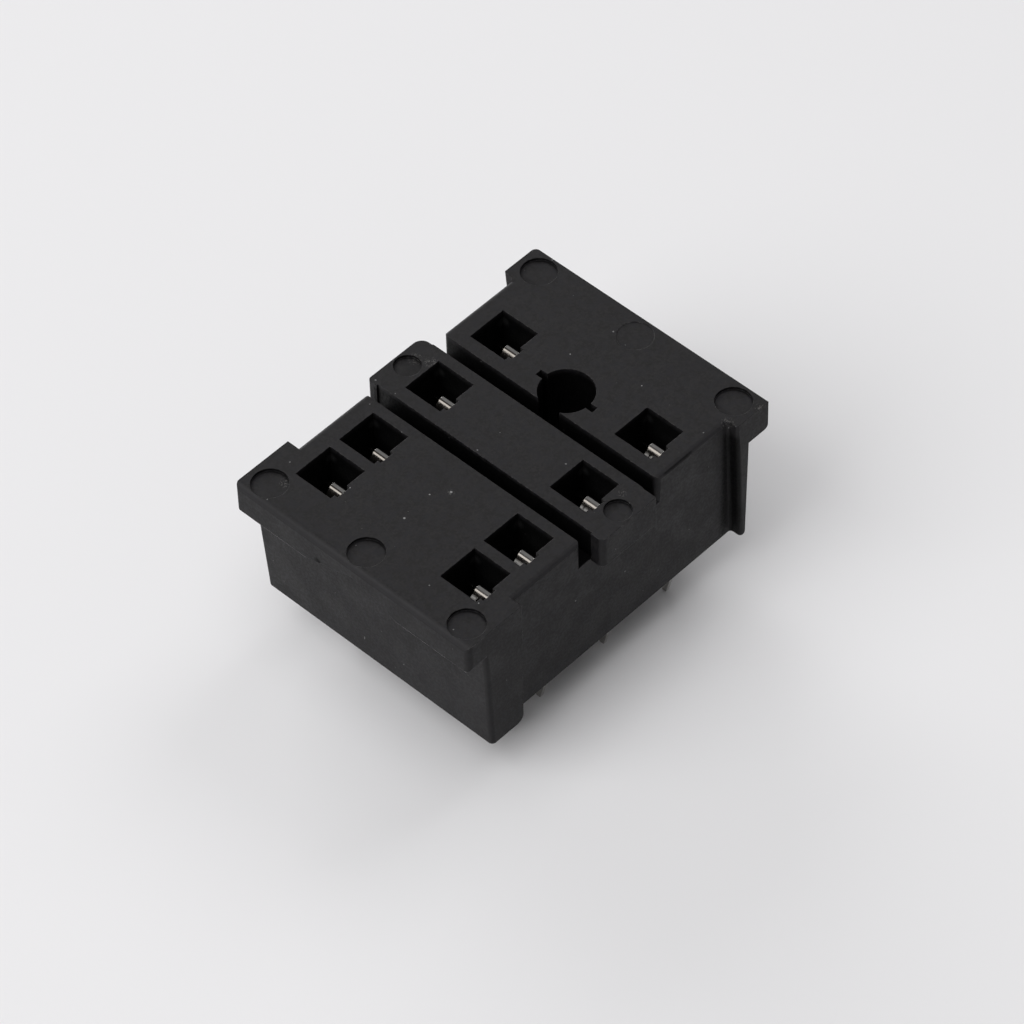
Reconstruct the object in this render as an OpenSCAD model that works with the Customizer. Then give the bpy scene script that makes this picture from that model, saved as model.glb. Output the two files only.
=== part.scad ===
// Circuit-board socket for a two-pole plug-in relay: one moulded housing and eight stamped contacts.
// X runs along the socket from the changeover end to the coil end, Y across it and Z up.
// The origin lies under the middle of the body, level with the tips of the solder tails.

/* [Relay terminal grid] */
// From the normally closed row to the normally open row
nc_to_no = 4.1; // [3.9:0.05:4.8]
// From the normally open row to the common row
no_to_com = 6.3; // [5.9:0.05:7.5]
// From the common row to the coil row
com_to_coil = 6.3; // [6:0.05:7.5]
// Between the two columns of terminals
column_gap = 13.2; // [12:0.1:15]

/* [Body] */
// Length of the body at its foot, without the lips
body_l = 25.1; // [24.5:0.1:30]
// Width of the body at its top, without the ribs
body_w = 19.5; // [18.9:0.1:22]
// Height of the body above the circuit board
body_h = 11.7; // [10.8:0.1:14]
// Wall between the first windows and the foot of the near end wall
near_wall = 1.3; // [1.1:0.05:2.5]
// Rounding of the side faces' upper edges
side_edge_r = 0.33; // [0.1:0.01:0.5]

/* [End lips] */
// How far the near lip stands out past the foot of the near end wall
near_lip_out = 2; // [1.4:0.1:3]
// How far the far lip stands out past the foot of the far end wall
far_lip_out = 1.95; // [1:0.05:3]
// Thickness of the end lips
lip_t = 2.5; // [2:0.05:3]
// Rounding of the near lip's outer upper edge
near_lip_r = 0.5; // [0.1:0.05:0.8]
// Rounding of the far lip's outer lower edge
far_lip_r = 0.4; // [0.2:0.05:0.7]
// Rounding of the near lip's two lower corners
low_corner_r = 0.45; // [0.2:0.05:0.8]
// Rounding of the plain upright corners
corner_r = 0.45; // [0.2:0.05:0.6]
// Rounding of the crisp upright corners and edges
crisp_r = 0.05; // [0.03:0.01:0.2]
// Deepest point of the relief under the near lip
relief_h = 1.42; // [0.5:0.02:1.6]
// From the middle out to the relief's left end
relief_left = 4.3; // [3:0.1:9]
// From the middle out to the relief's right end
relief_right = 4.1; // [3:0.1:9]

/* [End walls and ribs] */
// How far the ribs and lips stand out past each side face
ear_out = 0.88; // [0.5:0.01:1.6]
// Length of the ribs at the near end
near_rib_t = 3; // [2:0.1:4.2]
// Length of the ribs at the far end, at their top
far_rib_t = 1.2; // [1:0.05:2]
// Taper of the far ribs' inner faces in degrees
rib_taper = 3.2; // [0.5:0.1:4]
// Rounding of the near ribs' inner foot
near_foot_r = 0.6; // [0.3:0.05:1.4]
// Rounding of the far end's outer foot
far_foot_r = 0.45; // [0.2:0.05:0.7]
// Fillet between the side faces and the far ribs
rib_fillet_r = 0.25; // [0.1:0.05:0.5]
// Rounding of the far ribs' inner edges
rib_edge_r = 0.3; // [0.1:0.05:0.5]
// Rounding of the near end wall's upright corners
wall_corner_r = 0.35; // [0.1:0.05:0.5]
// Rounding of the far end wall's upright corners
far_corner_r = 0.15; // [0.05:0.05:0.4]
// Draft of the near end wall in degrees
near_draft = 2.8; // [0.5:0.1:3]
// Draft of the far end wall in degrees
far_draft = 0.5; // [0.2:0.1:2]
// Draft of the left side and its ribs in degrees
left_draft = 1.7; // [0.5:0.1:2]
// Draft of the right side and its ribs in degrees
right_draft = 0.8; // [0.5:0.1:2]
// Depth below the top at which the draft of the ribs' faces starts
draft_start = 3; // [2.7:0.1:5]

/* [Cross slots and centre strip] */
// Width of the two slots across the top
slot_w = 1.16; // [0.8:0.02:1.4]
// Depth of the two slots
slot_d = 2.5; // [1.5:0.05:3]
// How far each slot lies towards the near end from the middle of its rows
slot_shift = 0.1; // [0:0.02:0.3]
// Rounding of the near block's corners at the mouths of its slot
near_mouth_r = 0.3; // [0.1:0.05:0.6]
// Rounding of the far block's corners at the mouths of its slot
far_mouth_r = 0.45; // [0.1:0.05:0.6]
// How far the centre strip's left ear stands out past the side face
left_ear_out = 0.85; // [0.8:0.01:1.5]
// How far the centre strip's right ear stands out past the side face
right_ear_out = 1.05; // [0.8:0.01:1.5]
// Height of the centre strip's ears
strip_ear_h = 2.65; // [1.8:0.05:3.2]
// How much wider the ears are than the strip on the near side
strip_ear_step = 0.13; // [0.05:0.01:0.3]
// How much narrower the ears are than the strip on the far side
strip_ear_inset = 0.07; // [0.03:0.01:0.2]
// Rounding of the left ear's far corner
left_ear_r = 0.75; // [0.4:0.05:1.3]
// Rounding of the left ear's near corner
left_ear_near_r = 0.3; // [0.1:0.05:0.7]
// Rounding of the right ear's near corner
right_ear_r = 0.45; // [0.2:0.05:1.3]

/* [Windows and cells] */
// Side of each square window
window_w = 3.25; // [3.1:0.05:3.5]
// Depth of the square well under each window
well_d = 4; // [3.6:0.1:4.6]
// Free space between a contact and the walls of its cell
cell_gap = 0.05; // [0.03:0.01:0.1]
// How far the hook notch reaches past a window's edge
hook_notch = 0.27; // [0.1:0.01:0.4]
// Depth of the hook notch
hook_notch_d = 1.6; // [1.2:0.1:2.5]
// Length of the hook notch along the window's edge
hook_notch_l = 1.15; // [1:0.05:1.6]

/* [Centre hole] */
// Diameter of the centre hole
hole_d = 4; // [3:0.1:4.4]
// From the coil row back to the hole's centre
hole_back = 0.92; // [0.6:0.02:1.2]
// Width of the two key notches beside the hole
key_w = 0.55; // [0.4:0.05:0.9]
// Distance across both key notches
key_span = 5.15; // [4.7:0.05:6]

/* [Core-outs under the body] */
// Thickness of the top above the core-outs
core_top_t = 3.2; // [2.9:0.1:4]
// Wall between the core-outs and the cells
core_web = 1; // [0.8:0.1:1.5]
// Thickness of the cross ribs under the slots
cross_rib_t = 1.4; // [1:0.1:2]

/* [Ejector marks] */
// Diameter of the marks on the ends
mark_d = 2.6; // [1.5:0.1:2.8]
// Diameter of the marks on the centre strip
small_mark_d = 1.95; // [1:0.05:2]
// Depth of the marks
mark_depth = 0.2; // [0.05:0.05:0.5]
// Depth of the faint mark in the middle of the far end
faint_mark_depth = 0.05; // [0.03:0.01:0.2]
// From the tip of a lip to the centre of its marks
mark_inset = 1.55; // [1.5:0.05:2]
// From a lip's side to the centre of its outer marks
mark_side = 1.75; // [1.5:0.05:2.2]
// How much further out than the others the near end's right mark lies
right_mark_out = 0.15; // [0:0.01:0.2]
// From the end of the centre strip to the centre of its mark
small_mark_inset = 1.12; // [1.03:0.01:1.6]

/* [Contacts] */
// Thickness of the contact sheet
sheet_t = 0.3; // [0.2:0.05:0.35]
// From the window's centre out to the back of the flat jaw
jaw_back = 0.7; // [0.6:0.05:0.9]
// From the window's centre out to the back of the spring leg
leg_back = 1.1; // [1:0.05:1.2]
// Width of the flat jaw on the far side of the relay blade
jaw_w = 2.6; // [2.2:0.1:2.8]
// Width of the spring leg and its hook
spring_w = 1.1; // [0.8:0.05:1.3]
// From the window's centre to the right-hand edge of the contact
contact_edge = 1.55; // [1.5:0.01:1.57]
// Depth of the hook's crest below the top
crest_d = 0.45; // [0.3:0.05:0.9]
// From the window's centre out to the corner of the crest
crest_back = 0.1; // [0:0.05:0.3]
// Height of the sloping lead-in outside the crest
hook_h = 0.85; // [0.6:0.05:1.2]
// Depth of the spring's pressing point below its crest
press_h = 3; // [2.4:0.1:3.6]
// From the window's centre in to the pressing point
press_in = 0.1; // [0:0.05:0.2]
// Length of the spring's free end below the pressing point
free_end_h = 2; // [1:0.1:2.5]
// From the window's centre out to the tip of the free end
free_end_back = 0.3; // [0.1:0.05:0.4]
// Depth of the flat jaw's upper edge below the top
jaw_top_d = 2.6; // [2:0.1:3]
// Height of the flare at the jaw's upper edge
flare_h = 0.7; // [0.4:0.1:1.2]
// How far the flare leans away from the blade
flare_out = 0.3; // [0.1:0.05:0.5]
// Depth of the foot of the contact below the top
foot_d = 9.4; // [8.6:0.1:10]
// Height of the wrap that joins the jaw to the leg
wrap_h = 3.1; // [2:0.1:3.3]
// Length of the solder tail below the body
tail_l = 4; // [3:0.1:5]
// Width of the solder tail
tail_w = 1; // [0.8:0.05:1.2]
// Width of the tail's blunt point
tip_w = 0.35; // [0.2:0.05:0.6]
// Length of the tail's taper
tip_l = 1.3; // [0.8:0.1:2]
// From the contact's right-hand edge in to the tail
tail_inset = 0.05; // [0:0.05:0.3]
// Height of the barb on the jaw's left-hand edge
barb_h = 1; // [0.6:0.1:1.4]
// Height of the barb's flat that rests on the cell's wall
barb_flat = 0.2; // [0.1:0.05:0.4]

/* [Hidden] */
round_fn = 48;
bend_steps = 8;
over = 1;

// Middle radii of the bends in the contact sheet
hook_r = 0.35;
crest_r = 0.25;
press_r = 0.6;
flare_r = 0.5;
wrap_r = 0.35;
// From the top of the crest's bend up to the corner of its middle line
crest_rise = 0.1;

// Lower edge of the near lip from right to left: share of the relief's length and of its height
relief_line = [
    [0, 0], [0.06, 0.17], [0.1, 0.33], [0.13, 0.57], [0.17, 0.66], [0.28, 0.65], [0.33, 0.72],
    [0.4, 0.85], [0.46, 1], [0.53, 0.9], [0.62, 0.67], [0.7, 0.51], [0.77, 0.49], [0.88, 0.23], [1, 0]
];

plastic = [0.1, 0.1, 0.105];
tinned = [0.78, 0.78, 0.76];

near_tip = -(near_lip_out + body_l + far_lip_out) / 2;
near_x = near_tip + near_lip_out;
far_x = near_x + body_l;
far_tip = far_x + far_lip_out;
side_y = body_w / 2;
ear_y = side_y + ear_out;
left_ear_y = side_y + left_ear_out;
right_ear_y = side_y + right_ear_out;
base_z = tail_l;
top_z = base_z + body_h;

nc_x = near_x + near_wall + window_w / 2;
no_x = nc_x + nc_to_no;
com_x = no_x + no_to_com;
coil_x = com_x + com_to_coil;
rows = [nc_x, no_x, com_x, coil_x];
left_y = column_gap / 2;
right_y = -column_gap / 2;

slot_1_x = (no_x + com_x) / 2 - slot_shift;
slot_2_x = (com_x + coil_x) / 2 - slot_shift;
strip_x0 = slot_1_x + slot_w / 2;
strip_x1 = slot_2_x - slot_w / 2;
ear_x0 = strip_x0 - strip_ear_step;
ear_x1 = strip_x1 - strip_ear_inset;
hole_x = coil_x - hole_back;

// Cell below a window, measured from the window's centre
cell_x0 = -leg_back - cell_gap;
cell_x1 = jaw_back + cell_gap;
cell_y0 = -contact_edge - cell_gap;
jaw_y1 = jaw_w / 2;
cell_y1 = jaw_y1 + cell_gap;

// ---------- shared shapes ----------

// Block from x0 to x1 and z0 to z1, w wide across the middle
module slab(x0, x1, w, z0, z1) {
    translate([x0, -w / 2, z0])
        cube([x1 - x0, w, z1 - z0]);
}

// What rounding a corner at the origin takes away, for a shape in the first quadrant
module corner_waste(r) {
    difference() {
        translate([-over, -over]) square(r + over);
        translate([r, r]) circle(r, $fn = round_fn);
    }
}

// Turns a flat shape drawn in x and height so that it spans y0 to y1
module across(y0, y1) {
    translate([0, y1, 0])
        rotate([90, 0, 0])
            linear_extrude(y1 - y0) children();
}

// Turns a flat shape drawn in y and height so that it spans x0 to x1
module along(x0, x1) {
    translate([x0, 0, 0])
        rotate([90, 0, 90])
            linear_extrude(x1 - x0) children();
}

function unit(v) = v / norm(v);

// Points of an arc of radius r that rounds the corner b between a and c
function bend(a, b, c, r) =
    let (u = unit(a - b), v = unit(c - b))
    let (half = acos(u * v) / 2)
    let (centre = b + unit(u + v) * r / sin(half))
    let (from = b + u * r / tan(half) - centre)
    let (turn = (u[0] * v[1] - u[1] * v[0] > 0 ? -1 : 1) * (180 - 2 * half))
    [for (i = [0 : bend_steps])
        let (t = turn * i / bend_steps)
        centre + [from[0] * cos(t) - from[1] * sin(t), from[0] * sin(t) + from[1] * cos(t)]];

// Middle line of a bent strip through the corners, each inner corner rounded by its radius
function bent_line(corners, radii) =
    let (last = len(corners) - 1)
    [corners[0],
     for (k = [1 : last - 1])
        each bend(corners[k - 1], corners[k], corners[k + 1], radii[k - 1]),
     corners[last]];

// Line moved sideways by half the sheet's thickness
function beside(line, shift) =
    let (last = len(line) - 1)
    [for (i = [0 : last])
        let (d = unit(line[min(i + 1, last)] - line[max(i - 1, 0)]))
        line[i] + shift * [-d[1], d[0]]];

function reversed(list) = [for (i = [len(list) - 1 : -1 : 0]) list[i]];

// Edge view of a bent strip of contact sheet
module bent_strip(corners, radii) {
    line = bent_line(corners, radii);
    polygon(concat(beside(line, sheet_t / 2), reversed(beside(line, -sheet_t / 2))));
}

// ---------- housing ----------

// Outline of a lip seen from the side, with its tip at x = 0 and its top at height 0
module lip_side(length, upper_r, lower_r) {
    difference() {
        translate([0, -lip_t]) square([length, lip_t]);
        mirror([0, 1]) corner_waste(upper_r);
        translate([0, -lip_t]) corner_waste(lower_r);
    }
}

// Outline of a lip seen from above, with its tip at x = 0
module lip_plan(length, left_r, right_r) {
    difference() {
        translate([0, -ear_y]) square([length, 2 * ear_y]);
        translate([0, -ear_y]) corner_waste(right_r);
        translate([0, ear_y]) mirror([0, 1]) corner_waste(left_r);
    }
}

// Lip with rounded lower corners, and a ragged relief in its lower edge
module near_lip() {
    length = near_lip_out + near_rib_t;
    low_z = top_z - lip_t;
    relief_l = relief_left + relief_right;
    difference() {
        translate([near_tip, 0, 0])
            intersection() {
                translate([0, 0, top_z])
                    across(-ear_y, ear_y) lip_side(length, near_lip_r, crisp_r);
                translate([0, 0, low_z - over])
                    linear_extrude(lip_t + 2 * over) lip_plan(length, wall_corner_r, corner_r);
            }
        along(near_tip - over, near_x)
            for (side = [0, 1])
                mirror([side, 0]) translate([-ear_y, low_z]) corner_waste(low_corner_r);
        along(near_tip - over, near_x)
            polygon(concat(
                [[relief_left, low_z - over], [-relief_right, low_z - over]],
                [for (p = relief_line) [p[0] * relief_l - relief_right, low_z + p[1] * relief_h]]
            ));
    }
}

module far_lip() {
    length = far_lip_out + far_rib_t + rib_fillet_r + over;
    translate([far_tip, 0, 0])
        mirror([1, 0, 0])
            intersection() {
                translate([0, 0, top_z])
                    across(-ear_y, ear_y) lip_side(length, crisp_r, far_lip_r);
                translate([0, 0, top_z - lip_t - over])
                    linear_extrude(lip_t + 2 * over) lip_plan(length, corner_r, crisp_r);
            }
}

// Space inside an end wall at x = 0 and one rib's face, both drafted, with their edge rounded
module drafted_corner(side, wall_draft, rib_draft, edge_r) {
    inset = (body_h - draft_start) * tan(rib_draft);
    mirror([0, side < 0 ? 1 : 0, 0])
        translate([0, ear_y - inset, base_z])
            rotate([-rib_draft, -wall_draft, 0])
                translate([0, 0, -2 * over])
                    linear_extrude(body_h + 4 * over)
                        mirror([0, 1])
                            difference() {
                                square([near_rib_t + 3 * over, 2 * ear_y + over]);
                                corner_waste(edge_r);
                            }
}

// Full-width end wall, from x = 0 inwards, with its foot rounded
module end_wall(length, wall_draft, edge_r) {
    intersection() {
        translate([0, 0, base_z])
            across(-ear_y, ear_y) children();
        drafted_corner(1, wall_draft, left_draft, edge_r);
        drafted_corner(-1, wall_draft, right_draft, edge_r);
    }
}

module near_end() {
    translate([near_x, 0, 0])
        end_wall(near_rib_t, near_draft, wall_corner_r)
            difference() {
                translate([-over, 0]) square([over + near_rib_t, body_h]);
                translate([near_rib_t, 0]) mirror([1, 0]) corner_waste(near_foot_r);
            }
    near_lip();
}

// The far end reaches in past the fillets, and the side pockets give its ribs their shape
module far_end() {
    length = far_rib_t + rib_fillet_r + over;
    translate([far_x, 0, 0])
        mirror([1, 0, 0])
            end_wall(length, far_draft, far_corner_r)
                difference() {
                    translate([-over, 0]) square([over + length, body_h]);
                    corner_waste(far_foot_r);
                }
    far_lip();
}

// What rounding a block's corner at the mouth of a slot takes away
module mouth_waste(r) {
    intersection() {
        corner_waste(r);
        translate([-slot_w / 2, -over]) square([slot_w / 2 + r, 2 * over]);
    }
}

module cross_slots() {
    for (x = [slot_1_x, slot_2_x])
        slab(x - slot_w / 2, x + slot_w / 2, body_w + 2 * over, top_z - slot_d, top_z + over);
    translate([0, 0, top_z - slot_d])
        linear_extrude(slot_d + over)
            for (side = [0, 1])
                mirror([0, side]) {
                    translate([slot_1_x - slot_w / 2, side_y])
                        mirror([1, 0]) mirror([0, 1]) mouth_waste(near_mouth_r);
                    translate([slot_2_x + slot_w / 2, side_y])
                        mirror([0, 1]) mouth_waste(far_mouth_r);
                }
}

// Space beside the body: a drafted side face, a fillet and the tapered far rib with its edge rounded
module side_pocket(draft) {
    rib_edge_y = ear_out + draft_start * tan(draft);
    translate([far_x - far_rib_t, side_y, top_z])
        rotate([-draft, -rib_taper, 0])
            translate([0, 0, -body_h - 3 * over])
                linear_extrude(body_h + 6 * over) {
                    difference() {
                        translate([-body_l, 0]) square([body_l, 2 * ear_out + over]);
                        mirror([1, 0]) corner_waste(rib_fillet_r);
                    }
                    translate([0, rib_edge_y]) mirror([0, 1]) corner_waste(rib_edge_r);
                }
}

// Rounded upper edge of a side face
module side_edge() {
    translate([0, side_y, top_z])
        along(near_x, far_x - far_rib_t - rib_fillet_r)
            mirror([1, 0]) mirror([0, 1]) corner_waste(side_edge_r);
}

module body() {
    difference() {
        union() {
            slab(near_x + near_rib_t / 2, far_x - far_rib_t / 2, body_w + ear_out, base_z, top_z);
            far_end();
        }
        side_pocket(left_draft);
        side_edge();
        mirror([0, 1, 0]) {
            side_pocket(right_draft);
            side_edge();
        }
        cross_slots();
    }
}

// Ears at both ends of the centre strip, rooted in the strip, with rounded corners
module strip_ears() {
    root_y = side_y - 2 * side_edge_r;
    translate([0, 0, top_z - strip_ear_h])
        linear_extrude(strip_ear_h) {
            difference() {
                translate([ear_x0, -right_ear_y]) square([ear_x1 - ear_x0, right_ear_out]);
                translate([ear_x0, -right_ear_y]) corner_waste(right_ear_r);
                translate([ear_x1, -right_ear_y]) mirror([1, 0]) corner_waste(crisp_r);
            }
            difference() {
                translate([ear_x0, side_y]) square([ear_x1 - ear_x0, left_ear_out]);
                translate([ear_x1, left_ear_y]) mirror([1, 0]) mirror([0, 1]) corner_waste(left_ear_r);
                translate([ear_x0, left_ear_y]) mirror([0, 1]) corner_waste(left_ear_near_r);
            }
            for (side = [0, 1])
                mirror([0, side])
                    translate([strip_x0, root_y]) square([ear_x1 - strip_x0, 2 * side_edge_r]);
        }
}

// Square well under a window, with a notch that clears the contact's hook
module well() {
    translate([-window_w / 2, -window_w / 2, top_z - well_d])
        cube([window_w, window_w, well_d + over]);
    translate([-leg_back - 3 * cell_gap, -window_w / 2 - hook_notch, top_z - hook_notch_d])
        cube([hook_notch_l, window_w / 2, hook_notch_d + over]);
}

// Narrow cell that the contact is pushed up into from below
module cell() {
    translate([cell_x0, cell_y0, base_z - over])
        cube([cell_x1 - cell_x0, cell_y1 - cell_y0, body_h - well_d + 2 * over]);
}

// Centre hole with its two key notches, right through the body
module centre_hole() {
    translate([hole_x, 0, base_z - over]) {
        cylinder(h = body_h + 2 * over, d = hole_d, $fn = round_fn);
        translate([-key_w / 2, -key_span / 2, 0])
            cube([key_w, key_span, body_h + 2 * over]);
    }
}

// Core-outs that keep the walls of the moulding thin, open to the circuit board
module core_outs() {
    core_w = column_gap - window_w - 2 * core_web;
    core_z = top_z - core_top_t;
    slab(near_x + near_wall, slot_1_x - cross_rib_t / 2, core_w, base_z - over, core_z);
    slab(slot_1_x + cross_rib_t / 2, slot_2_x - cross_rib_t / 2, core_w, base_z - over, core_z);
}

module ejector_mark(x, y, d, depth) {
    translate([x, y, top_z - depth])
        cylinder(h = depth + over, d = d, $fn = round_fn);
}

module ejector_marks() {
    mark_y = ear_y - mark_side;
    for (x = [near_tip + mark_inset, far_tip - mark_inset])
        ejector_mark(x, mark_y, mark_d, mark_depth);
    ejector_mark(near_tip + mark_inset, -mark_y - right_mark_out, mark_d, mark_depth);
    ejector_mark(far_tip - mark_inset, -mark_y, mark_d, mark_depth);
    ejector_mark(near_tip + mark_inset, 0, mark_d, mark_depth);
    ejector_mark(far_tip - mark_inset, 0, mark_d, faint_mark_depth);
    for (y = [left_ear_y - small_mark_inset, small_mark_inset - right_ear_y])
        ejector_mark((strip_x0 + strip_x1) / 2, y, small_mark_d, mark_depth);
}

module housing() {
    color(plastic)
        difference() {
            union() {
                body();
                near_end();
                strip_ears();
            }
            for (x = rows)
                for (y = [left_y, right_y])
                    translate([x, y, 0]) {
                        well();
                        cell();
                    }
            centre_hole();
            core_outs();
            ejector_marks();
        }
}

// ---------- contacts ----------

// Spring leg that rises in the cell, hooks over at the top and comes down to press on the blade
module spring() {
    leg_x = -leg_back + sheet_t / 2;
    crest_z = top_z - crest_d + crest_rise;
    press_z = crest_z - press_h;
    across(-contact_edge, -contact_edge + spring_w)
        bent_strip([
            [leg_x, top_z - foot_d + wrap_h - sheet_t],
            [leg_x, crest_z - hook_h],
            [-crest_back, crest_z],
            [press_in, press_z],
            [-free_end_back, press_z - free_end_h]
        ], [hook_r, crest_r, press_r]);
}

// Flat jaw behind the relay blade, flared at its upper edge
module jaw() {
    jaw_x = jaw_back - sheet_t / 2;
    flare_z = top_z - jaw_top_d;
    across(-jaw_y1, jaw_y1)
        bent_strip([
            [jaw_x, top_z - foot_d],
            [jaw_x, flare_z - flare_h],
            [jaw_x + flare_out, flare_z]
        ], [flare_r]);
}

// Wrap round the contact's right-hand side, from the jaw to the spring leg
module wrap() {
    jaw_x = jaw_back - sheet_t / 2;
    leg_x = -leg_back + sheet_t / 2;
    wrap_y = -contact_edge + sheet_t / 2;
    translate([0, 0, top_z - foot_d])
        linear_extrude(wrap_h)
            bent_strip([
                [jaw_x, jaw_y1],
                [jaw_x, wrap_y],
                [leg_x, wrap_y],
                [leg_x, -contact_edge + spring_w]
            ], [wrap_r, wrap_r]);
}

// Solder tail with a tapered point
module tail() {
    tail_y = -contact_edge + tail_inset + tail_w / 2;
    tail_top = top_z - foot_d + sheet_t;
    along(jaw_back - sheet_t, jaw_back)
        polygon([
            [tail_y - tip_w / 2, 0], [tail_y + tip_w / 2, 0],
            [tail_y + tail_w / 2, tip_l], [tail_y + tail_w / 2, tail_top],
            [tail_y - tail_w / 2, tail_top], [tail_y - tail_w / 2, tip_l]
        ]);
}

// Barb on the jaw's left-hand edge that bites into the wall of the cell
module barb() {
    barb_z = top_z - foot_d + wrap_h / 2;
    along(jaw_back - sheet_t, jaw_back)
        polygon([
            [jaw_y1 - sheet_t, barb_z], [cell_y1, barb_z],
            [cell_y1, barb_z + barb_flat], [jaw_y1 - sheet_t, barb_z + barb_h]
        ]);
}

module contact(x, y) {
    color(tinned)
        translate([x, y, 0]) {
            spring();
            jaw();
            wrap();
            tail();
            barb();
        }
}

housing();
contact(nc_x, left_y);  // contact_nc_left
contact(nc_x, right_y);  // contact_nc_right
contact(no_x, left_y);  // contact_no_left
contact(no_x, right_y);  // contact_no_right
contact(com_x, left_y);  // contact_com_left
contact(com_x, right_y);  // contact_com_right
contact(coil_x, left_y);  // contact_coil_left
contact(coil_x, right_y);  // contact_coil_right
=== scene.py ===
# Looks for the relay socket: moulded plastic and tinned metal, a pale floor, soft studio light
# and the camera.
import math
import bpy
from mathutils import Matrix, Vector


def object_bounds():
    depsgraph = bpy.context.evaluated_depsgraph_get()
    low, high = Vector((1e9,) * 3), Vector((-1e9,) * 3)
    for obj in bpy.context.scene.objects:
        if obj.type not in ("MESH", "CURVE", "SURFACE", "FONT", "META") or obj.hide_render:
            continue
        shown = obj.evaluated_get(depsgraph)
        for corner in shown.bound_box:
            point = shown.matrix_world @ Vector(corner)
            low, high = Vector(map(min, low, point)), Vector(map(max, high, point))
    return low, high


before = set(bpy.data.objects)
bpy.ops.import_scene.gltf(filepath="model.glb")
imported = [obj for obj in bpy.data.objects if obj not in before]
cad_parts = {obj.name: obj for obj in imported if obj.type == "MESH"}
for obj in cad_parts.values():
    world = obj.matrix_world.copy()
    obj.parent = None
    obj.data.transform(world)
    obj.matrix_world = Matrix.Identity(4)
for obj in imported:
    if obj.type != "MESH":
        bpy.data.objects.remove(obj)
cad_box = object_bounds()
MM = 0.001

# ---------- places on the part ----------

low, high = (Vector(corner) for corner in cad_box)
TOP = high.z
NEAR, FAR = low.x, high.x
LIP_SIDE = high.y
ROWS = [NEAR + offset * MM for offset in (4.925, 9.025, 15.325, 21.625)]
COLUMN = 6.6 * MM

# Round ejector marks: distance in from the tips and sides, radii and sideways places, in mm
MARK_INSET, MARK_SIDE_INSET, MARK_RADIUS = 1.55, 1.75, 1.3
NEAR_RIGHT_MARK_OUT = 0.15
STRIP_MARK_RADIUS, STRIP_MARK_SIDES = 0.975, (9.48, -9.68)
STRIP_MARK_BACK = 0.1
CRESCENT_SHIFT = Vector((0.11, 0.11, 0)) * MM

# Places where the top face tore, and single grains of dust on it: x, y and radius in mm
TORN = (
    (1.6, 9.6, 0.65), (2.0, 8.5, 0.6), (11.2, -9.9, 0.6), (13.7, -10.5, 0.4),
    (11.9, -8.4, 0.3), (-12.2, 8.3, 0.6), (1.9, -8.9, 0.4), (-5.6, -0.5, 0.35),
)
DUST = (
    (-9.2, 0.2, 0.10), (-6.6, 0.4, 0.07), (-5.5, -0.5, 0.11), (-9.7, 4.7, 0.07),
    (-11.2, -8.4, 0.06), (1.6, -9.8, 0.11), (13.4, -9.8, 0.12), (11.9, -8.5, 0.11),
    (0.6, 9.7, 0.08), (8.8, 2.1, 0.06), (-3.9, 5.6, 0.07), (9.9, -3.4, 0.06),
)
TORN_SOFT, DUST_SOFT = 0.8, 0.6

# ---------- colours ----------

PALE = (0.80, 0.795, 0.805, 1)
PALE_GREY = (0.795, 0.79, 0.80, 1)
WHITE = (1, 1, 1, 1)
BLACK_WARM = (0.0040, 0.0034, 0.0038, 1)
BLACK_COOL = (0.0060, 0.0056, 0.0074, 1)
BLACK_GRAIN = (0.0115, 0.0105, 0.0112, 1)
BLACK_UPTURNED_LIGHT = (0.026, 0.025, 0.027, 1)
BLACK_SHADE_AND_MARKS = (0.0010, 0.0010, 0.0010, 1)
CORNER_GREY = (0.03, 0.03, 0.03, 1)
EDGE_GREY = (0.090, 0.087, 0.088, 1)
TORN_GREY = (0.13, 0.125, 0.12, 1)
DUST_GREY = (0.30, 0.30, 0.30, 1)
FLASH_HIGHLIGHT_GREY = (0.42, 0.41, 0.42, 1)
SHEEN_SIDE_SHADE = (0.56, 0.56, 0.56, 1)
SHEEN_SHADE_AND_MARKS = (0.06, 0.06, 0.06, 1)
TIN_PALE = (0.74, 0.73, 0.71, 1)
TIN_GREY = (0.60, 0.585, 0.56, 1)
TIN_SLOPE_SHADE = (0.13, 0.115, 0.10, 1)


# ---------- node helpers ----------

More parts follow.
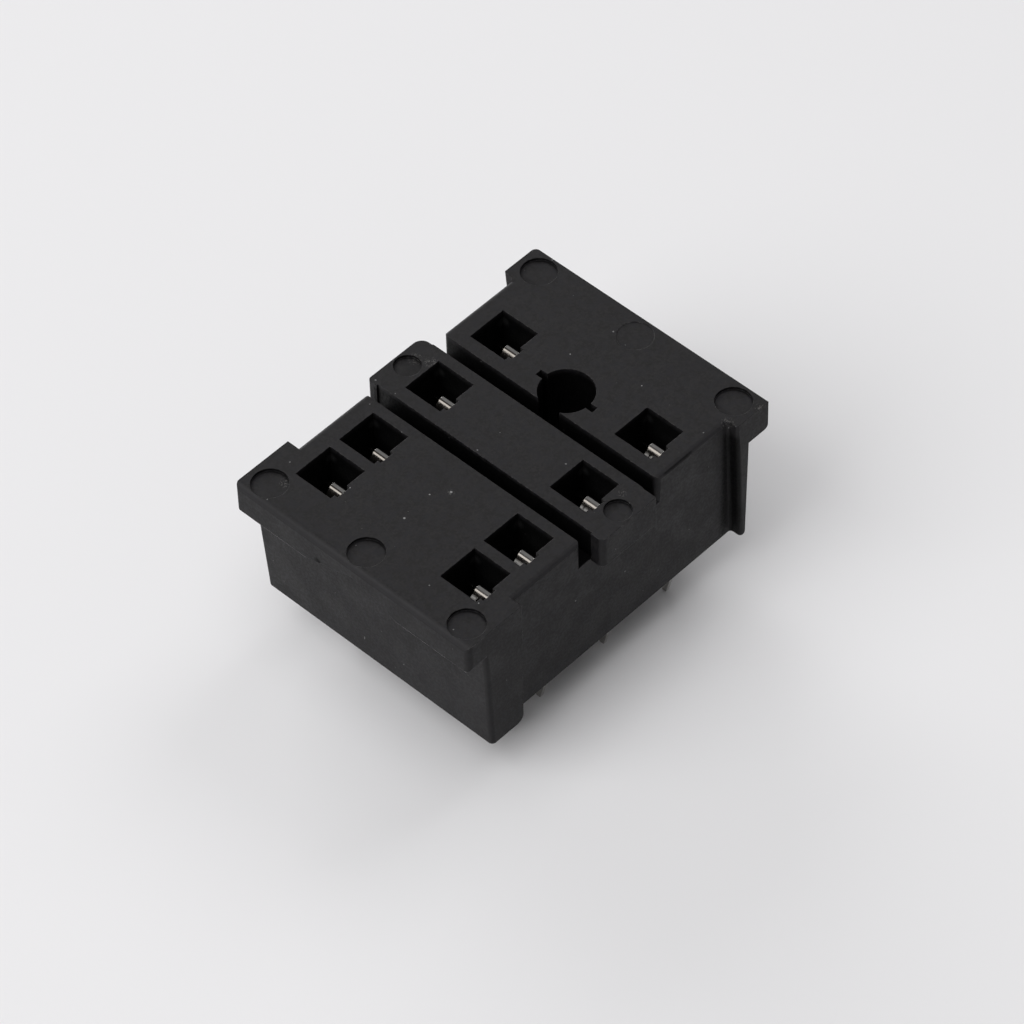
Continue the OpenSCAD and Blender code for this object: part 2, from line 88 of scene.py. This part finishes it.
class Nodes:
    """Builds one material's node tree."""

    def __init__(self, name):
        self.material = bpy.data.materials.new(name)
        self.material.use_nodes = True
        self.tree = self.material.node_tree
        self.tree.nodes.clear()
        self.output = self.new("ShaderNodeOutputMaterial")
        self.where = self.new("ShaderNodeTexCoord").outputs["Object"]
        self.x, self.y, self.z = self.split(self.where)

    def new(self, kind, **settings):
        node = self.tree.nodes.new(kind)
        for key, value in settings.items():
            setattr(node, key, value)
        return node

    def put(self, socket, value):
        if isinstance(value, bpy.types.NodeSocket):
            self.tree.links.new(value, socket)
        else:
            socket.default_value = value

    def split(self, vector):
        node = self.new("ShaderNodeSeparateXYZ")
        self.put(node.inputs[0], vector)
        return node.outputs

    def facing(self):
        """The three parts of the direction that the surface faces"""
        return self.split(self.new("ShaderNodeTexCoord").outputs["Normal"])

    def noise(self, scale, detail=2.0, roughness=0.5, where=None):
        node = self.new("ShaderNodeTexNoise")
        self.put(node.inputs["Vector"], where or self.where)
        self.put(node.inputs["Scale"], scale)
        self.put(node.inputs["Detail"], detail)
        self.put(node.inputs["Roughness"], roughness)
        return node.outputs["Fac"]

    def math(self, operation, a, b):
        node = self.new("ShaderNodeMath", operation=operation)
        self.put(node.inputs[0], a)
        self.put(node.inputs[1], b)
        return node.outputs[0]

    def chain(self, operation, values):
        total = values[0]
        for value in values[1:]:
            total = self.math(operation, total, value)
        return total

    def times(self, *values):
        return self.chain("MULTIPLY", values)

    def plus(self, *values):
        return self.chain("ADD", values)

    def most(self, values):
        """The largest of the values"""
        return self.chain("MAXIMUM", values)

    def without(self, share):
        return self.math("SUBTRACT", 1.0, share)

    def span(self, value, low, high, to_low=0.0, to_high=1.0):
        """Value moved from the range low to high into another range, and held inside it"""
        node = self.new("ShaderNodeMapRange")
        for socket, given in zip(node.inputs, (value, low, high, to_low, to_high)):
            self.put(socket, given)
        return node.outputs[0]

    def inside(self, value, low, high, soft):
        """1 where value lies between low and high, falling to 0 over soft outside them"""
        rise = self.span(value, low - soft, low)
        return self.times(rise, self.span(value, high, high + soft, 1.0, 0.0))

    def inside_mm(self, value, low, high, soft):
        return self.inside(value, low * MM, high * MM, soft * MM)

    def below_top(self, shallow, deep, soft):
        """1 between two depths below the top face, in millimetres"""
        return self.inside(self.z, TOP - deep * MM, TOP - shallow * MM, soft * MM)

    def deeper(self, start, full):
        """Rises from 0 to 1 between two depths below the top face, in millimetres"""
        return self.span(self.z, TOP - start * MM, TOP - full * MM)

    def spot(self, centre, radius, soft=0.5):
        """1 near the point, falling to 0 at the radius"""
        away = self.new("ShaderNodeVectorMath", operation="DISTANCE")
        self.put(away.inputs[0], self.where)
        self.put(away.inputs[1], centre)
        return self.span(away.outputs["Value"], radius * (1 - soft), radius, 1.0, 0.0)

    def spots_on_top(self, places, soft):
        """Spots at places on the top face, given as x, y and radius in millimetres"""
        return self.most([self.spot(Vector((x * MM, y * MM, TOP)), radius * MM, soft)
                          for x, y, radius in places])

    def mix(self, share, a, b):
        node = self.new("ShaderNodeMix", data_type="RGBA")
        self.put(node.inputs[0], share)
        self.put(node.inputs[6], a)
        self.put(node.inputs[7], b)
        return node.outputs[2]

    def bump(self, height, distance, strength, normal):
        node = self.new("ShaderNodeBump")
        self.put(node.inputs["Strength"], strength)
        self.put(node.inputs["Distance"], distance)
        self.put(node.inputs["Height"], height)
        self.put(node.inputs["Normal"], normal)
        return node.outputs["Normal"]

    def edge(self, radius):
        """(normal rounded over the edges, how near an edge the point is from 0 to 1)"""
        bevel = self.new("ShaderNodeBevel", samples=6)
        self.put(bevel.inputs["Radius"], radius)
        plain = self.new("ShaderNodeNewGeometry").outputs["Normal"]
        dot = self.new("ShaderNodeVectorMath", operation="DOT_PRODUCT")
        self.put(dot.inputs[0], bevel.outputs["Normal"])
        self.put(dot.inputs[1], plain)
        return bevel.outputs["Normal"], self.span(dot.outputs["Value"], 0.998, 0.85)

    def shader(self, **inputs):
        node = self.new("ShaderNodeBsdfPrincipled")
        for key, value in inputs.items():
            self.put(node.inputs[key.replace("_", " ")], value)
        self.tree.links.new(node.outputs[0], self.output.inputs["Surface"])


# ---------- marks, wear, painted shade and painted light on the plastic ---

def ejector_marks():
    """(centre, radius) of the round marks, without the faint one at the far end"""
    inset, side = MARK_INSET * MM, LIP_SIDE - MARK_SIDE_INSET * MM
    strip = (ROWS[1] + ROWS[3]) / 2 - STRIP_MARK_BACK * MM
    places = [(NEAR + inset, side), (NEAR + inset, -side - NEAR_RIGHT_MARK_OUT * MM),
              (NEAR + inset, 0), (FAR - inset, side), (FAR - inset, -side)]
    marks = [(Vector((x, y, TOP)), MARK_RADIUS * MM) for x, y in places]
    for y in STRIP_MARK_SIDES:
        marks.append((Vector((strip, y * MM, TOP)), STRIP_MARK_RADIUS * MM))
    return marks


def crescent_shade(n):
    """Painted shade: dark crescents in the ejector marks, on the side away from the near right
    corner
    """
    shapes = []
    for centre, radius in ejector_marks():
        disc = n.spot(centre, radius + 0.03 * MM, 0.03)
        rest = n.spot(centre - CRESCENT_SHIFT, radius + 0.02 * MM, 0.05)
        shapes.append(n.times(disc, n.without(rest)))
    return n.times(n.most(shapes), n.span(n.z, TOP - 0.6 * MM, TOP - 0.5 * MM))


def flash_highlight_and_nick(n):
    """(painted highlight on the moulding flash along the near lip's lower edge, the dark nick
    above it)
    """
    on_lip = n.span(n.x, NEAR + 0.3 * MM, NEAR + 0.2 * MM)
    line = n.times(on_lip, n.below_top(2.47, 2.55, 0.03))
    line = n.times(line, n.span(n.noise(1300), 0.40, 0.56, 0.1, 0.8))
    nick = n.spot(Vector((NEAR, 3.05 * MM, TOP - 1.95 * MM)), 0.36 * MM)
    return n.times(line, n.span(nick, 0.0, 0.6, 1.0, 0.0)), nick


def dust_grains(n):
    grit = n.times(n.span(n.noise(3300, 0.0), 0.86, 0.89), 0.5)
    on_near_wall = n.spot(Vector((NEAR + 1.9 * MM, 5.6 * MM, TOP - 5.2 * MM)), 0.12 * MM)
    return n.most([n.spots_on_top(DUST, DUST_SOFT), grit, on_near_wall])


def top_edge_scrape(n, blotches):
    """Dark scrape along the right side's upper edge"""
    line = n.times(n.inside_mm(n.x, 5.3, 7.7, 0.3), n.below_top(0.14, 0.32, 0.06))
    line = n.times(line, n.span(n.y, -9.3 * MM, -9.45 * MM))
    return n.times(line, n.span(blotches, 0.38, 0.52))


def hollow_shade(n, facing_x):
    """Painted shade in the wells, hole and slots, and in the corner beside the right far rib"""
    openings = n.times(n.deeper(0.12, 0.5), n.inside_mm(n.y, -9.3, 9.3, 0.2))
    openings = n.times(openings, n.inside(n.x, NEAR + 3.2 * MM, FAR - 2.4 * MM, 0.1 * MM))
    first_slot = n.times(n.inside_mm(n.x, -3.2, -1.8, 0.04), n.inside_mm(n.y, -9.66, 10.0, 0.03))
    first_slot = n.times(first_slot, n.below_top(0.35, 2.7, 0.15))
    rib_face = n.times(n.inside_mm(n.x, 10.5, 12.0, 0.1), n.span(facing_x, -0.25, -0.6))
    rib_corner = n.most([rib_face, n.inside_mm(n.x, 11.15, 11.4, 0.35)])
    rib_corner = n.times(rib_corner, n.inside_mm(n.y, -10.75, -9.6, 0.05), n.deeper(0.9, 1.5))
    return n.most([openings, first_slot, rib_corner])


def window_corners(n):
    """Paler patch high in each window's far left corner, where light gets in"""
    into_corner = 1.5 * MM
    return n.most([
        n.spot(Vector((row + into_corner, side + into_corner, TOP - 1.0 * MM)), 0.5 * MM, 0.9)
        for row in ROWS for side in (-COLUMN, COLUMN)])


# ---------- materials ----------

def moulded_plastic():
    n = Nodes("moulded_plastic")
    facing_x, facing_y, facing_z = n.facing()
    grain = n.noise(5200, 2.0, 0.6)
    fine = n.noise(14000, 1.0)
    patches = n.noise(420, 4.0, 0.6)
    blotches = n.noise(1700, 3.0)
    rounded, edge = n.edge(0.045 * MM)

    worn = n.times(edge, n.span(n.noise(2600, 3.0), 0.50, 0.62))
    # Painted light: faces tilted partway up, such as the roundings, are painted paler
    upturned_light = n.inside(facing_z, 0.35, 0.80, 0.18)
    specks = n.span(n.noise(7600, 2.0, 0.7), 0.54, 0.62)
    torn = n.times(n.spots_on_top(TORN, TORN_SOFT), specks)
    dust = dust_grains(n)
    flash_highlight, nick = flash_highlight_and_nick(n)
    scrape = top_edge_scrape(n, blotches)
    # Painted shade (crescents in the marks, wells, hole, slots, rib corner) joined with the real
    # scrape and nick
    shade_and_marks = n.most([n.times(crescent_shade(n), 0.6), n.times(scrape, 0.7), nick,
                    n.times(hollow_shade(n, facing_x), 0.85)])

    colour = n.mix(n.span(blotches, 0.42, 0.58), BLACK_WARM, BLACK_COOL)
    colour = n.mix(n.span(grain, 0.44, 0.62), colour, BLACK_GRAIN)
    colour = n.mix(n.times(upturned_light, 0.5), colour, BLACK_UPTURNED_LIGHT)
    colour = n.mix(n.times(worn, 0.8), colour, EDGE_GREY)
    colour = n.mix(n.times(torn, 0.6), colour, TORN_GREY)
    colour = n.mix(n.times(dust, 0.8), colour, DUST_GREY)
    # Painted highlight: the flash along the near lip's lower edge is painted pale grey
    colour = n.mix(flash_highlight, colour, FLASH_HIGHLIGHT_GREY)
    # Painted shade, scrape and nick are painted near black
    colour = n.mix(shade_and_marks, colour, BLACK_SHADE_AND_MARKS)
    colour = n.mix(n.times(window_corners(n), 0.6), colour, CORNER_GREY)

    # Painted shade: the right side's reflection is turned down so that it looks darker than the
    # other faces
    sheen_shade = n.mix(n.span(facing_y, -0.5, -0.9), WHITE, SHEEN_SIDE_SHADE)
    # Painted shade, scrape and nick also reflect little
    sheen_shade = n.mix(shade_and_marks, sheen_shade, SHEEN_SHADE_AND_MARKS)

    rough = n.plus(n.span(patches, 0.42, 0.58, 0.56, 0.62), n.span(grain, 0.42, 0.60, -0.06, 0.06))
    height = n.plus(n.times(grain, 0.6), n.times(fine, 0.2), n.times(n.plus(torn, dust), 1.5))
    height = n.math("SUBTRACT", height, scrape)
    n.shader(Base_Color=colour, Roughness=rough, IOR=1.5, Specular_IOR_Level=0.27,
             Specular_Tint=sheen_shade, Normal=n.bump(height, 0.012 * MM, 0.6, rounded))
    return n.material


def tinned_metal():
    n = Nodes("tinned_metal")
    stretch = n.new("ShaderNodeMapping")
    n.put(stretch.inputs["Vector"], n.where)
    stretch.inputs["Scale"].default_value = (1, 1, 0.12)
    lines = n.noise(9000, where=stretch.outputs["Vector"])
    patches = n.noise(2200)
    rounded, _ = n.edge(0.03 * MM)
    left = n.span(n.y, 0.0, 1 * MM)
    right = n.span(n.y, 0.0, -1 * MM)

    # Painted shade: the hooks' slopes are painted dark, apart from a pale scuffed end on the
    # right-hand ones
    scuffed = n.times(n.below_top(0.95, 1.4, 0.15), right, n.span(patches, 0.35, 0.55))
    slope_shade = n.inside(n.facing()[0], -0.92, -0.40, 0.15)
    left_slope = n.most([n.inside(n.x, row - 1.4 * MM, row - 0.42 * MM, 0.03 * MM)
                         for row in ROWS])
    slope_shade = n.times(n.most([slope_shade, n.times(left_slope, left)]), n.without(scuffed))

    colour = n.mix(n.span(patches, 0.3, 0.7), TIN_PALE, TIN_GREY)
    colour = n.mix(n.times(slope_shade, 0.9), colour, TIN_SLOPE_SHADE)
    rough = n.plus(n.span(patches, 0.3, 0.7, 0.10, 0.16), n.span(lines, 0.3, 0.7, -0.02, 0.03),
                   n.times(scuffed, 0.45))
    n.shader(Base_Color=colour, Metallic=1.0, Roughness=rough,
             Normal=n.bump(lines, 0.0015 * MM, 0.4, rounded))
    return n.material


def pale_floor():
    n = Nodes("pale_floor")
    colour = n.mix(n.span(n.noise(14), 0.3, 0.7), PALE_GREY, PALE)
    n.shader(Base_Color=colour, Roughness=0.9, Specular_IOR_Level=0.1)
    return n.material


def dress(node, material):
    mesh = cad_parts[node].data
    mesh.materials.clear()
    mesh.materials.append(material)


plastic = moulded_plastic()
tin = tinned_metal()
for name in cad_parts:
    dress(name, plastic if name == "housing" else tin)


# ---------- floor, light and camera ----------

scene = bpy.context.scene


def plane(name, size, z, material):
    mesh = bpy.data.meshes.new(name)
    h = size / 2
    mesh.from_pydata([(-h, -h, z), (h, -h, z), (h, h, z), (-h, h, z)], [], [(0, 1, 2, 3)])
    mesh.materials.append(material)
    piece = bpy.data.objects.new(name, mesh)
    scene.collection.objects.link(piece)
    return piece


plane("floor", 4.0, 0, pale_floor())


def aimed(obj, place, target, roll=0.0):
    """Puts obj at place with its -Z axis towards target, turned by roll about it."""
    back = (place - target).normalized()
    right = Vector((0, 0, 1)).cross(back).normalized()
    up = back.cross(right)
    c, s = math.cos(roll), math.sin(roll)
    x, y = right * c + up * s, up * c - right * s
    obj.matrix_world = Matrix.Translation(place) @ Matrix((x, y, back)).transposed().to_4x4()


def around(target, azimuth, elevation, distance):
    """Place at a distance from target, where azimuth 0 is in front of it, on the -Y side"""
    a, e = math.radians(azimuth), math.radians(elevation)
    level = math.cos(e)
    return target + distance * Vector((math.sin(a) * level, -math.cos(a) * level, math.sin(e)))


LIGHT_DISTANCE = 0.9
MIDDLE = Vector((0, 0, 0.008))


def softbox(name, azimuth, elevation, size, power):
    data = bpy.data.lights.new(name, "AREA")
    data.shape = "DISK"
    data.size = size
    data.energy = power
    lamp = bpy.data.objects.new(name, data)
    scene.collection.objects.link(lamp)
    aimed(lamp, around(MIDDLE, azimuth, elevation, LIGHT_DISTANCE), MIDDLE)


softbox("window", -104, 44, 0.75, 4.15)
softbox("overhead", -70, 74, 0.75, 2.9)
softbox("back", 160, 18, 0.7, 4.0)
softbox("far_side", 90, 46, 0.5, 1.35)

world = bpy.data.worlds.new("studio")
scene.world = world
world.use_nodes = True
background = world.node_tree.nodes["Background"]
background.inputs["Color"].default_value = PALE
background.inputs["Strength"].default_value = 0.23
scene.view_settings.view_transform = "Standard"

lens = bpy.data.cameras.new("camera")
lens.sensor_width = 36
lens.lens = 186.43
lens.clip_start = 0.01
lens.clip_end = 10
camera = bpy.data.objects.new("camera", lens)
scene.collection.objects.link(camera)
AIM = Vector((-4.075, -4.65, 15.7)) * MM
CAMERA_AZIMUTH, CAMERA_ELEVATION, CAMERA_ROLL = -45.39, 48.89, -1.79
CAMERA_DISTANCE = 347.07 * MM
place = around(AIM, CAMERA_AZIMUTH, CAMERA_ELEVATION, CAMERA_DISTANCE)
aimed(camera, place, AIM, math.radians(CAMERA_ROLL))
scene.camera = camera
